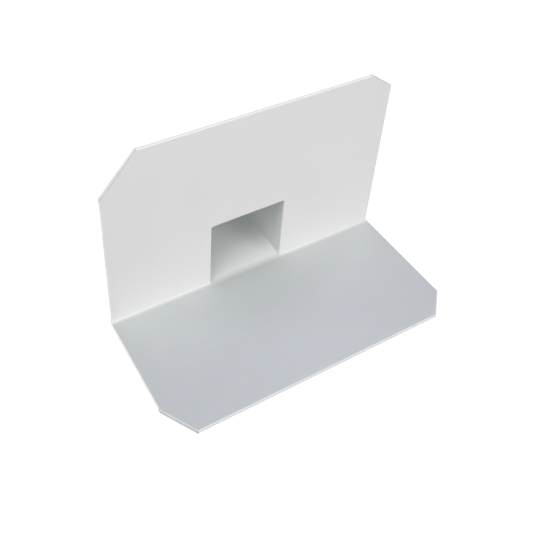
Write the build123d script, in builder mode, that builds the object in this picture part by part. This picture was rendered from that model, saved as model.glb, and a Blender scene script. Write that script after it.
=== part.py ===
from build123d import *
import os

# Roof scupper moulded in one piece. Lengths are in millimetres and angles in degrees.
# X runs along the parapet, Y back through it and Z up. The origin is on the underside, below the
# front face of the wall plate, midway between the two ends of the floor plate.

# Plates that the roof membrane is welded to
floor_width = 374.0
floor_depth = 172.0  # from the wall plate's front face to the front edge
floor_thickness = 6.0
wall_height = 241.0  # above the floor plate's upper face
wall_thickness = 4.0
wall_setback = 2.0  # each end of the wall plate from the end of the floor plate

# Corners trimmed by hand, so no two are alike: each is measured along both of its edges
floor_left_trim_along = 24.0
floor_left_trim_back = 41.0
floor_right_trim_along = 27.0
floor_right_trim_back = 28.0
wall_left_trim_along = 42.0
wall_left_trim_down = 49.0
wall_right_trim_along = 30.0
wall_right_trim_down = 22.0

# Opening in the wall plate, with its sill level with the floor plate's upper face
opening_width = 100.0
opening_height = 94.0
opening_offset = -4.0  # from the middle of the plates
opening_corner_radius = 2.0

# Spout behind the wall plate, which narrows so that it slips into the sleeve in the parapet
spout_length = 150.0  # from the wall plate's front face
spout_wall = 4.0
spout_draft = 1.0

# Roundings of the moulding
mouth_radius = 1.5  # top and sides of the opening, where the water turns in
cove_radius = 1.5  # foot of the wall plate and of the spout's sides
root_radius = 5.0  # outside of the spout, where it leaves the wall plate
edge_radius = 1.2  # outlines of both plates
outlet_chamfer = 1.5  # lead-in round the spout's far end

# Places that follow from the sizes above
floor_end = floor_width / 2
wall_end = floor_end - wall_setback
floor_top = floor_thickness
wall_top = floor_top + wall_height
opening_top = floor_top + opening_height
opening_left = opening_offset - opening_width / 2
opening_right = opening_offset + opening_width / 2
trims_foot = wall_top - max(wall_left_trim_down, wall_right_trim_down)
outline_radius = min(edge_radius, 0.3 * wall_thickness, 0.3 * floor_thickness, 0.6 * wall_setback)
margin = 0.01  # allowed when an edge or face is found by where it lies


def drafted_bar(width, base, top, corner_radius):
    """A bar as long as the spout, with a flat base, rounded upper corners and drafted sides and top."""
    with BuildPart() as bar:
        with BuildSketch(Plane.XZ):
            with Locations((opening_offset, base)):
                Rectangle(width, top - base, align=(Align.CENTER, Align.MIN))
        extrude(amount=-spout_length)
        ends = faces().filter_by(Axis.Y)
        underside = faces().sort_by(Axis.Z)[:1]
        draft(faces() - ends - underside, -Plane.XZ, spout_draft)
        roof_edges = faces().sort_by(Axis.Z)[-1].edges()
        fillet(roof_edges - roof_edges.filter_by(Axis.X), corner_radius)
    return bar.part


# The spout's outside reaches down to the floor plate's underside, and its inside to the sill
spout = drafted_bar(
    opening_width + 2 * spout_wall, 0, opening_top + spout_wall, opening_corner_radius + spout_wall
)
waterway = drafted_bar(opening_width, floor_top, opening_top, opening_corner_radius)

with BuildPart() as scupper:
    add(spout)

    # Floor plate, which lies on the roof deck in front of the wall plate
    with BuildSketch(Plane.XY):
        with BuildLine():
            Polyline(
                (-floor_end, 0),
                (-floor_end, floor_left_trim_back - floor_depth),
                (floor_left_trim_along - floor_end, -floor_depth),
                (floor_end - floor_right_trim_along, -floor_depth),
                (floor_end, floor_right_trim_back - floor_depth),
                (floor_end, 0),
                close=True,
            )
        make_face()
    extrude(amount=floor_thickness)

    # Wall plate, which stands against the parapet and reaches down to the roof deck
    with BuildSketch(Plane.XZ):
        with BuildLine():
            Polyline(
                (-wall_end, 0),
                (-wall_end, wall_top - wall_left_trim_down),
                (wall_left_trim_along - wall_end, wall_top),
                (wall_end - wall_right_trim_along, wall_top),
                (wall_end, wall_top - wall_right_trim_down),
                (wall_end, 0),
                close=True,
            )
        make_face()
    extrude(amount=-wall_thickness)

    add(waterway, mode=Mode.SUBTRACT)

    # Mouth: the opening's top and sides on the wall plate's front face, but not its level sill
    front_edges = edges().filter_by_position(Axis.Y, -margin, margin)
    opening_edges = front_edges.filter_by_position(Axis.X, opening_left - margin, opening_right + margin)
    fillet(opening_edges.filter_by_position(Axis.Z, floor_top + margin, opening_top + margin), mouth_radius)

    # Cove: one rounding along the foot of the wall plate, round both jambs and down the spout
    level_edges = edges().filter_by_position(Axis.Z, floor_top - margin, floor_top + margin)
    foot_edges = level_edges.filter_by_position(Axis.Y, -margin, spout_length - margin)
    fillet(foot_edges.filter_by_position(Axis.X, margin - wall_end, wall_end - margin), cove_radius)

    # Root: the spout's sides and top where they leave the back of the wall plate
    back_edges = edges().filter_by_position(Axis.Y, wall_thickness - margin, wall_thickness + margin)
    fillet(back_edges.filter_by(Edge.is_interior), root_radius)

    # Outlet: the outside of the spout's far end
    outlet = faces().sort_by(Axis.Y)[-1]
    chamfer(outlet.outer_wire().edges(), outlet_chamfer)

    # Outlines: the floor plate's front, trims and ends, then the wall plate's top and trims
    level_faces = faces().filter_by(Axis.Z).filter_by_position(Axis.Z, -margin, floor_top + margin)
    rim_back = -cove_radius - margin
    fillet(level_faces.edges().filter_by_position(Axis.Y, -floor_depth - margin, rim_back), outline_radius)
    upright_faces = faces().filter_by(Axis.Y).filter_by_position(Axis.Y, -margin, wall_thickness + margin)
    fillet(upright_faces.edges().filter_by_position(Axis.Z, trims_foot, wall_top + margin), outline_radius)

scupper.part.label = "scupper"

os.makedirs("parts", exist_ok=True)
export_step(scupper.part, "parts/scupper.step")

print("scupper", scupper.part.bounding_box(), "volume", round(scupper.part.volume), "mm3")
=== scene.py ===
# %% [markdown]
# # A roof scupper in off-white PVC
# A scupper takes rainwater off a flat roof: it sits where the roof meets the parapet, and its spout leads
# the water out through the wall. This one is a single piece of rigid PVC, so its shape is already whole
# in the solid model. The work here is what the eye sees on that shape: the finish of each face, the light
# and the view. The solid is loaded first and stays exactly where it is.

# %% Load the solid and keep its box
import bpy
import math
from mathutils import Matrix, Vector


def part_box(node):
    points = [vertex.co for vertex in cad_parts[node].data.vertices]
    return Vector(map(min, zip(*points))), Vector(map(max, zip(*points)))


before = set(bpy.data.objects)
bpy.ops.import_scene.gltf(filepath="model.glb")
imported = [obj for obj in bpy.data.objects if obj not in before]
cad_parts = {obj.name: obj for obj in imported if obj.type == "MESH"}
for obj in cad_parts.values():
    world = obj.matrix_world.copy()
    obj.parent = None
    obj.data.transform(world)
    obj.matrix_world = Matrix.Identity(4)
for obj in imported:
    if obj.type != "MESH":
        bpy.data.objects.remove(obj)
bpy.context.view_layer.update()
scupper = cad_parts["scupper"]
low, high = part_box("scupper")
MM = 0.001
print("scupper", len(scupper.data.polygons), "faces")
print("size in mm", [round(side / MM, 1) for side in high - low])

# %% [markdown]
# ## Three small helpers
# Colours are written as sRGB hex values, the way a colour card or a picture editor gives them, while
# Blender mixes light in linear values. The first function turns the one into the other. The second adds a
# shader node, sets its properties and fills its inputs, each with a value or with the socket that feeds
# it. The third starts a material with nothing in it but its output.


# %% Colour, node and material helpers
def linear(hex_colour):
    """Linear RGBA of an sRGB hex colour such as #e6e6e4."""
    channels = [int(hex_colour[place:place + 2], 16) / 255 for place in (1, 3, 5)]
    return [c / 12.92 if c <= 0.04045 else ((c + 0.055) / 1.055) ** 2.4 for c in channels] + [1.0]


def add_node(tree, kind, inputs=None, **settings):
    """Add one node. An input is a value, or the socket of another node that feeds it."""
    made = tree.nodes.new(kind)
    for name, value in settings.items():
        setattr(made, name, value)
    for name, value in (inputs or {}).items():
        if isinstance(value, bpy.types.NodeSocket):
            tree.links.new(value, made.inputs[name])
        else:
            made.inputs[name].default_value = value
    return made


def new_material(name):
    """An empty node material and its output node."""
    material = bpy.data.materials.new(name)
    material.use_nodes = True
    material.node_tree.nodes.clear()
    return material, add_node(material.node_tree, "ShaderNodeOutputMaterial")


print("#e6e6e4 as linear light", [round(c, 3) for c in linear("#e6e6e4")])

# %% [markdown]
# ## Where the finishes lie
# Rigid PVC comes out of the mould with one satin skin, but this scupper doesn't look the same all over.
# The upper face of its floor plate, where the roof sheet is welded on, has been rubbed down and is duller
# and greyer. Inside the spout the colour turns a shade greyer and greener: painted shade. The four outer
# corners were cut off by hand and show the cut. A material can find these places from Object coordinates,
# because each of them lies on or between planes that are known from the moulding's own sizes.

# %% The trimmed corners as lines
wall_setback = 2.0 * MM
wall_left = low.x + wall_setback
wall_right = high.x - wall_setback

# How far each trim reaches along the front or top edge, and back or down from the corner
floor_left_along, floor_left_back = 24 * MM, 41 * MM
floor_right_along, floor_right_back = 27 * MM, 28 * MM
wall_left_along, wall_left_down = 42 * MM, 49 * MM
wall_right_along, wall_right_down = 30 * MM, 22 * MM

# Each trim as its two ends on the outline
trims = {
    "floor left": (
        Vector((low.x, low.y + floor_left_back, 0)),
        Vector((low.x + floor_left_along, low.y, 0)),
    ),
    "floor right": (
        Vector((high.x - floor_right_along, low.y, 0)),
        Vector((high.x, low.y + floor_right_back, 0)),
    ),
    "wall left": (
        Vector((wall_left, 0, high.z - wall_left_down)),
        Vector((wall_left + wall_left_along, 0, high.z)),
    ),
    "wall right": (
        Vector((wall_right - wall_right_along, 0, high.z)),
        Vector((wall_right, 0, high.z - wall_right_down)),
    ),
}
for name, (start, end) in trims.items():
    print(name, "trim is", round((end - start).length / MM, 1), "mm long")

# %% [markdown]
# ## Masks for the keyed face, the painted shade in the spout and the trims
# A mask is 1 on a finish and 0 elsewhere. The keyed face is found by its height, and the mask ends on the
# shoulder of the rounded rim, so the rest of the plate's edges keep the moulded white; the grey on that
# shoulder is a thin line of painted shade. At the foot of the wall plate the grey fades out over a few
# millimetres and runs a little way up the rounded corner: painted shade, where the corner would otherwise
# catch a highlight. The inside of the spout, where shade is painted too, is what lies between the sides
# of the opening, behind the face of the wall plate.
# Each trim is found by how far a point lies from the plane of the cut, and the same loop measures how far
# along the cut it is, for the marks of the saw.

# %% Coordinates and the keyed face
pvc, pvc_output = new_material("rigid_pvc_satin_moulded")
tree = pvc.node_tree
place = add_node(tree, "ShaderNodeTexCoord").outputs["Object"]
axes = add_node(tree, "ShaderNodeSeparateXYZ", {"Vector": place}).outputs

floor_thickness = 6.0 * MM
floor_top = low.z + floor_thickness
edge_radius = 1.2 * MM
# Painted shade: the grey reaches this far down the rounded rim, as a thin dark line along the plate's
# edge
rim_shade_depth = 0.2 * edge_radius
above_rim = add_node(
    tree, "ShaderNodeMath", {0: axes["Z"], 1: floor_top - rim_shade_depth}, operation="GREATER_THAN"
).outputs[0]

# Painted shade: the grey runs up the corner at the wall's foot and fades out across it
fade_rise = 3 * MM
fade_top = floor_top + fade_rise
corner_shade_rise = add_node(
    tree,
    "ShaderNodeMapRange",
    {"Value": axes["Z"], "From Min": floor_top, "From Max": fade_top, "To Min": 1.0, "To Max": 0.0},
).outputs[0]

fade_start = -6 * MM
fade_end = 5 * MM
corner_shade_reach = add_node(
    tree,
    "ShaderNodeMapRange",
    {"Value": axes["Y"], "From Min": fade_start, "From Max": fade_end, "To Min": 1.0, "To Max": 0.0},
).outputs[0]
keyed_height_and_shade = add_node(
    tree, "ShaderNodeMath", {0: above_rim, 1: corner_shade_rise}, operation="MULTIPLY"
).outputs[0]
# This mask carries the keyed face and also the painted shade on the rim and in the corner at the wall's
# foot
keyed = add_node(
    tree, "ShaderNodeMath", {0: keyed_height_and_shade, 1: corner_shade_reach}, operation="MULTIPLY"
).outputs[0]
print("keyed face is", round(-low.y / MM), "mm deep")
print("its fade at the wall is", round((fade_end - fade_start) / MM, 1), "mm wide")

# %% Painted shade inside the spout
opening_width = 100.0 * MM
opening_height = 94.0 * MM
opening_middle = -4.0 * MM
# Painted shade inside the spout, full this far behind the wall plate's face
shade_full_depth = 10 * MM
shade_margin = 0.7 * MM
behind_mouth = add_node(
    tree, "ShaderNodeMapRange", {"Value": axes["Y"], "From Min": 0.0, "From Max": shade_full_depth}
).outputs[0]
between_sides = add_node(
    tree,
    "ShaderNodeMath",
    {0: axes["X"], 1: opening_middle, 2: opening_width / 2 + shade_margin},
    operation="COMPARE",
).outputs[0]
under_roof = add_node(
    tree,
    "ShaderNodeMath",
    {0: axes["Z"], 1: floor_top + opening_height / 2, 2: opening_height / 2 + shade_margin},
    operation="COMPARE",
).outputs[0]
inside = add_node(
    tree, "ShaderNodeMath", {0: between_sides, 1: under_roof}, operation="MULTIPLY"
).outputs[0]
spout_shade = add_node(
    tree, "ShaderNodeMath", {0: inside, 1: behind_mouth}, operation="MULTIPLY"
).outputs[0]
print("film is full", round(shade_full_depth / MM), "mm behind the wall plate's face")

# %% The trimmed corners as masks
cut_reach = edge_radius
cut = 0.0
along_cut = 0.0
for name, (start, end) in trims.items():
    along = (end - start).normalized()
    through = Vector((0, 1, 0)) if name.startswith("wall") else Vector((0, 0, 1))
    normal = along.cross(through)
    from_plane = add_node(
        tree, "ShaderNodeVectorMath", {0: place, 1: normal}, operation="DOT_PRODUCT"
    ).outputs["Value"]
    on_cut = add_node(
        tree,
        "ShaderNodeMath",
        {0: from_plane, 1: normal.dot(start), 2: cut_reach},
        operation="COMPARE",
    ).outputs[0]
    distance = add_node(
        tree, "ShaderNodeVectorMath", {0: place, 1: along}, operation="DOT_PRODUCT"
    ).outputs["Value"]
    along_cut = add_node(
        tree, "ShaderNodeMath", {0: distance, 1: on_cut, 2: along_cut}, operation="MULTIPLY_ADD"
    ).outputs[0]
    cut = add_node(tree, "ShaderNodeMath", {0: on_cut, 1: cut}, operation="MAXIMUM").outputs[0]
    print(name, "cut lies", round(normal.dot(start) / MM, 1), "mm from the origin")

# %% [markdown]
# ## Patterns
# Four patterns carry the finish. Broad clouds are where the melt flowed and cooled unevenly. A fine grain
# is the skin that the mould's matt steel leaves. Scuffs are the strokes of a sanding block that ran along
# the plate. Two sets of strokes are multiplied, which breaks them up unevenly. Saw marks stand across
# each trim. Grain, scuffs and saw marks are finer than a tenth of a millimetre on the real part. They are
# drawn coarser here, so that they show at this distance.

# %% Clouds and grain
cloud_size = 60 * MM
grain_size = 2 * MM
clouds = add_node(
    tree,
    "ShaderNodeTexNoise",
    {"Vector": place, "Scale": 1 / cloud_size, "Detail": 3.0, "Roughness": 0.55},
).outputs["Fac"]
grain = add_node(
    tree, "ShaderNodeTexNoise", {"Vector": place, "Scale": 1 / grain_size, "Detail": 2.0}
).outputs["Fac"]
print("in mm: clouds", round(cloud_size / MM), "and grain", round(grain_size / MM, 1))

# %% Scuffs and saw marks
scuff_width = 1.5 * MM
scuff_length = 45 * MM
scuff_turns = 12, -31  # degrees within the noise, so that the two sets differ
strokes = []
for turn in scuff_turns:
    stretched = add_node(
        tree,
        "ShaderNodeMapping",
        {
            "Vector": place,
            "Rotation": (0, 0, math.radians(turn)),
            "Scale": (1 / scuff_length, 1 / scuff_width, 1 / scuff_length),
        },
    ).outputs[0]
    stroke = add_node(tree, "ShaderNodeTexNoise", {"Vector": stretched, "Scale": 1.0, "Detail": 3.0})
    strokes.append(stroke.outputs["Fac"])
scuffs = add_node(
    tree, "ShaderNodeMath", {0: strokes[0], 1: strokes[1]}, operation="MULTIPLY"
).outputs[0]

saw_pitch = 2 * MM
saw_marks = add_node(
    tree,
    "ShaderNodeTexNoise",
    {"W": along_cut, "Scale": 1 / saw_pitch, "Detail": 2.0},
    noise_dimensions="1D",
).outputs["Fac"]
print("in mm: scuffs", round(scuff_length / MM), "by", round(scuff_width / MM, 1))
print("in mm: saw marks", round(saw_pitch / MM, 1))

# %% [markdown]
# ## Moulded PVC
# The body is an off-white rigid PVC with a satin skin: a soft, wide highlight and hardly any colour. The
# keyed face is the same plastic under scuffs, greyer because the scuffed skin holds fine dust. Its bluish
# cast in front, turning more neutral towards the wall plate, is painted reflection. Inside the spout a
# greyer, greener colour is painted shade. A sawn corner is dull and a little grey too. All of them are
# one Principled shader, whose colour, roughness and relief change with the masks.

# %% Colour of each finish
off_white = linear("#e5e4e4"), linear("#e9e8e7")
# Each grey is bluish, then neutral; the change between the two is painted reflection
hollow_grey = linear("#b4b8be"), linear("#b4b8b8")
ridge_grey = linear("#c3c7cc"), linear("#c3c7c7")
sawn_grey = linear("#c0c1c0"), linear("#cdcecc")
# Painted shade: the inside of the spout turns greyer and greener
spout_shade_colour = linear("#e1e4e2")

# A colour Mix node blends its inputs 6 and 7 by input 0, and output 2 is the blend
body_colour = add_node(
    tree, "ShaderNodeMix", {0: clouds, 6: off_white[0], 7: off_white[1]}, data_type="RGBA"
).outputs[2]
# Painted reflection: the keyed face is bluish in front and neutral towards the wall plate
bluish_until = -110 * MM
neutral_from = -10 * MM
painted_reflection_blend = add_node(
    tree, "ShaderNodeMapRange", {"Value": axes["Y"], "From Min": bluish_until, "From Max": neutral_from}
).outputs[0]
hollows = add_node(
    tree, "ShaderNodeMix", {0: painted_reflection_blend, 6: hollow_grey[0], 7: hollow_grey[1]}, data_type="RGBA"
).outputs[2]
ridges = add_node(
    tree, "ShaderNodeMix", {0: painted_reflection_blend, 6: ridge_grey[0], 7: ridge_grey[1]}, data_type="RGBA"
).outputs[2]
keyed_colour = add_node(
    tree, "ShaderNodeMix", {0: scuffs, 6: hollows, 7: ridges}, data_type="RGBA"
).outputs[2]
cut_colour = add_node(
    tree, "ShaderNodeMix", {0: saw_marks, 6: sawn_grey[0], 7: sawn_grey[1]}, data_type="RGBA"
).outputs[2]
print("keyed face reflects", round(hollow_grey[0][1] / off_white[0][1], 2), "of what the body does")

# %% Colour of the whole surface
moulded_colour = add_node(
    tree, "ShaderNodeMix", {0: spout_shade, 6: body_colour, 7: spout_shade_colour}, data_type="RGBA"
).outputs[2]
moulded_or_keyed = add_node(
    tree, "ShaderNodeMix", {0: keyed, 6: moulded_colour, 7: keyed_colour}, data_type="RGBA"
).outputs[2]
surface_colour = add_node(
    tree, "ShaderNodeMix", {0: cut, 6: moulded_or_keyed, 7: cut_colour}, data_type="RGBA"
).outputs[2]
print("film reflects", round(spout_shade_colour[1] / off_white[0][1], 2), "of what the body does")

# %% Roughness
satin_roughness = 0.36
cloud_extra = 0.12
keyed_extra = 0.14
sawn_extra = 0.2
moulded_roughness = add_node(
    tree, "ShaderNodeMath", {0: clouds, 1: cloud_extra, 2: satin_roughness}, operation="MULTIPLY_ADD"
).outputs[0]
keyed_roughness = add_node(
    tree, "ShaderNodeMath", {0: keyed, 1: keyed_extra, 2: moulded_roughness}, operation="MULTIPLY_ADD"
).outputs[0]
roughness = add_node(
    tree, "ShaderNodeMath", {0: cut, 1: sawn_extra, 2: keyed_roughness}, operation="MULTIPLY_ADD"
).outputs[0]
print("roughness is", satin_roughness, "or more, and a trim adds", sawn_extra)

# %% Relief
relief_depth = 0.03 * MM
keyed_relief = add_node(
    tree, "ShaderNodeMath", {0: keyed, 1: scuffs, 2: grain}, operation="MULTIPLY_ADD"
).outputs[0]
relief = add_node(
    tree, "ShaderNodeMath", {0: cut, 1: saw_marks, 2: keyed_relief}, operation="MULTIPLY_ADD"
).outputs[0]
skin = add_node(
    tree, "ShaderNodeBump", {"Height": relief, "Distance": relief_depth, "Strength": 1.0}
).outputs["Normal"]
print("relief is", relief_depth / MM, "mm deep")

# %% Shader
pvc_ior = 1.53
body = add_node(
    tree,
    "ShaderNodeBsdfPrincipled",
    {"Base Color": surface_colour, "Roughness": roughness, "Normal": skin, "IOR": pvc_ior},
)
tree.links.new(body.outputs[0], pvc_output.inputs["Surface"])
scupper.data.materials.clear()
scupper.data.materials.append(pvc)
print("material", pvc.name, "has", len(tree.nodes), "nodes")

# %% [markdown]
# ## Studio floor
# The scupper stands on a pale floor that fades into a white background. The floor is plain matt grey
# paper for the light that bounces off it. Only what looks straight at it, or sees it mirrored, gets the
# extra white, so the object isn't lit by it, and the soft shadow under the plates stays. Farther out the
# paper turns to the pure white of the background, so that no edge of it shows from any side.

# %% Floor
floor_half = 6.0
floor_mesh = bpy.data.meshes.new("studio_floor")
signs = (-1, -1), (1, -1), (1, 1), (-1, 1)
corners = [(x * floor_half, y * floor_half, low.z) for x, y in signs]
floor_mesh.from_pydata(corners, [], [(0, 1, 2, 3)])
studio_floor = bpy.data.objects.new("studio_floor", floor_mesh)
bpy.context.collection.objects.link(studio_floor)
print("studio floor", 2 * floor_half, "m wide at z", low.z)


# %% Paper
def looked_at(tree):
    """1 for a ray from the eye, straight or by way of a mirror or glass, and 0 for bounced light."""
    ray = add_node(tree, "ShaderNodeLightPath").outputs
    mirrored = add_node(
        tree,
        "ShaderNodeMath",
        {0: ray["Is Glossy Ray"], 1: ray["Is Transmission Ray"]},
        operation="MAXIMUM",
    ).outputs[0]
    return add_node(
        tree, "ShaderNodeMath", {0: ray["Is Camera Ray"], 1: mirrored}, operation="MAXIMUM"
    ).outputs[0]


paper, paper_output = new_material("matt_studio_paper")
tree = paper.node_tree
bouncing = add_node(tree, "ShaderNodeBsdfDiffuse", {"Color": linear("#8c8c8c")}).outputs[0]
shaded = add_node(tree, "ShaderNodeBsdfDiffuse", {"Color": linear("#a8a8a8")}).outputs[0]
extra_white = 0.75
white = add_node(tree, "ShaderNodeEmission", {"Strength": extra_white}).outputs[0]
near = add_node(tree, "ShaderNodeAddShader", {0: shaded, 1: white}).outputs[0]
far = add_node(tree, "ShaderNodeEmission", {"Strength": 1.0}).outputs[0]

shadow_reach = 0.4
white_reach = 1.2
spot = add_node(tree, "ShaderNodeTexCoord").outputs["Object"]
reach = add_node(tree, "ShaderNodeVectorMath", {0: spot}, operation="LENGTH").outputs["Value"]
fade = add_node(
    tree, "ShaderNodeMapRange", {"Value": reach, "From Min": shadow_reach, "From Max": white_reach}
).outputs[0]
shown = add_node(tree, "ShaderNodeMixShader", {0: fade, 1: near, 2: far}).outputs[0]
surface = add_node(tree, "ShaderNodeMixShader", {0: looked_at(tree), 1: bouncing, 2: shown})
tree.links.new(surface.outputs[0], paper_output.inputs["Surface"])
floor_mesh.materials.append(paper)
print("paper is pure white", white_reach, "m from the origin and beyond")

# %% [markdown]
# ## Light
# The photograph has soft light from several sides and no hard shadow. A wide softbox hangs overhead on
# the left and lights the floor plate. Two smaller ones, in front and on the right, fill the wall plate,
# and they are weak enough for the spout to darken towards its far end. The last two stand low on both
# sides behind, so that the ends and the back stay light, yet little of their light gets into the spout.
# All of them are almost five metres away, or the top of the wall plate, nearest to the overhead lamp,
# would be brighter than its foot. A matt surface then renders about as bright as its own colour is
# written.

# %% World
world = bpy.data.worlds.new("white_studio")
bpy.context.scene.world = world
world.use_nodes = True
tree = world.node_tree
tree.nodes.clear()
paper_white = linear("#ffffff")
ambient_level = 0.06
ambient = add_node(
    tree, "ShaderNodeBackground", {"Color": paper_white, "Strength": ambient_level}
).outputs[0]
backdrop = add_node(tree, "ShaderNodeBackground", {"Color": paper_white, "Strength": 1.0}).outputs[0]
surface = add_node(tree, "ShaderNodeMixShader", {0: looked_at(tree), 1: ambient, 2: backdrop})
tree.links.new(surface.outputs[0], add_node(tree, "ShaderNodeOutputWorld").inputs["Surface"])
print("the white background lights the scupper with", ambient_level, "of its brightness")

# %% Softboxes
aim = Vector((0, -0.02, 0.1))
lamp_distance = 4.8


def add_softbox(name, azimuth, elevation, side, level):
    """A square lamp aimed at the scupper. Level is how bright it makes a white surface facing it."""
    lamp = bpy.data.lights.new(name, "AREA")
    lamp.size = side
    lamp.energy = level * (math.pi * lamp_distance) ** 2
    softbox = bpy.data.objects.new(name, lamp)
    bpy.context.collection.objects.link(softbox)
    turned = Matrix.Rotation(math.radians(azimuth), 3, "Z")
    raised = Matrix.Rotation(math.radians(-elevation), 3, "X")
    towards_lamp = turned @ raised @ Vector((0, -1, 0))
    softbox.location = aim + lamp_distance * towards_lamp
    softbox.rotation_euler = (-towards_lamp).to_track_quat("-Z", "Y").to_euler()
    softbox.visible_camera = False
    print(name, "at", [round(c, 2) for c in softbox.location], "gives", round(lamp.energy, 1), "W")


# Azimuth and elevation in degrees, side in metres, and level
add_softbox("overhead_softbox", -50, 63, 3.0, 0.77)
add_softbox("front_softbox", -7, 10, 1.8, 0.3)
add_softbox("right_softbox", 30, 32, 2.0, 0.25)
add_softbox("rear_left_softbox", -118, 6, 1.2, 0.5)
add_softbox("rear_right_softbox", 118, 6, 1.2, 0.44)

# %% [markdown]
# ## Camera
# The view is from above on the left. Its place, its turn and its lens were worked out from the straight
# edges of the plates and the opening. The photograph has the scupper above the middle of the picture, and
# a small shift of the lens puts it there without turning the view.

# %% Camera
camera_data = bpy.data.cameras.new("camera")
camera_data.lens = 50.9
camera_data.shift_x = 0.074
camera_data.shift_y = -0.194
camera_place = Vector((-366.5, -553.7, 719.0)) * MM
azimuth = math.radians(-31.08)
elevation = math.radians(39.52)
roll = math.radians(2.19)
camera = bpy.data.objects.new("camera", camera_data)
bpy.context.collection.objects.link(camera)
camera.matrix_world = (
    Matrix.Translation(camera_place)
    @ Matrix.Rotation(azimuth, 4, "Z")
    @ Matrix.Rotation(math.pi / 2 - elevation, 4, "X")
    @ Matrix.Rotation(roll, 4, "Z")
)
bpy.context.scene.camera = camera
bpy.context.scene.view_settings.view_transform = "Standard"
print("camera", round((camera_place - aim).length, 3), "m from the scupper")
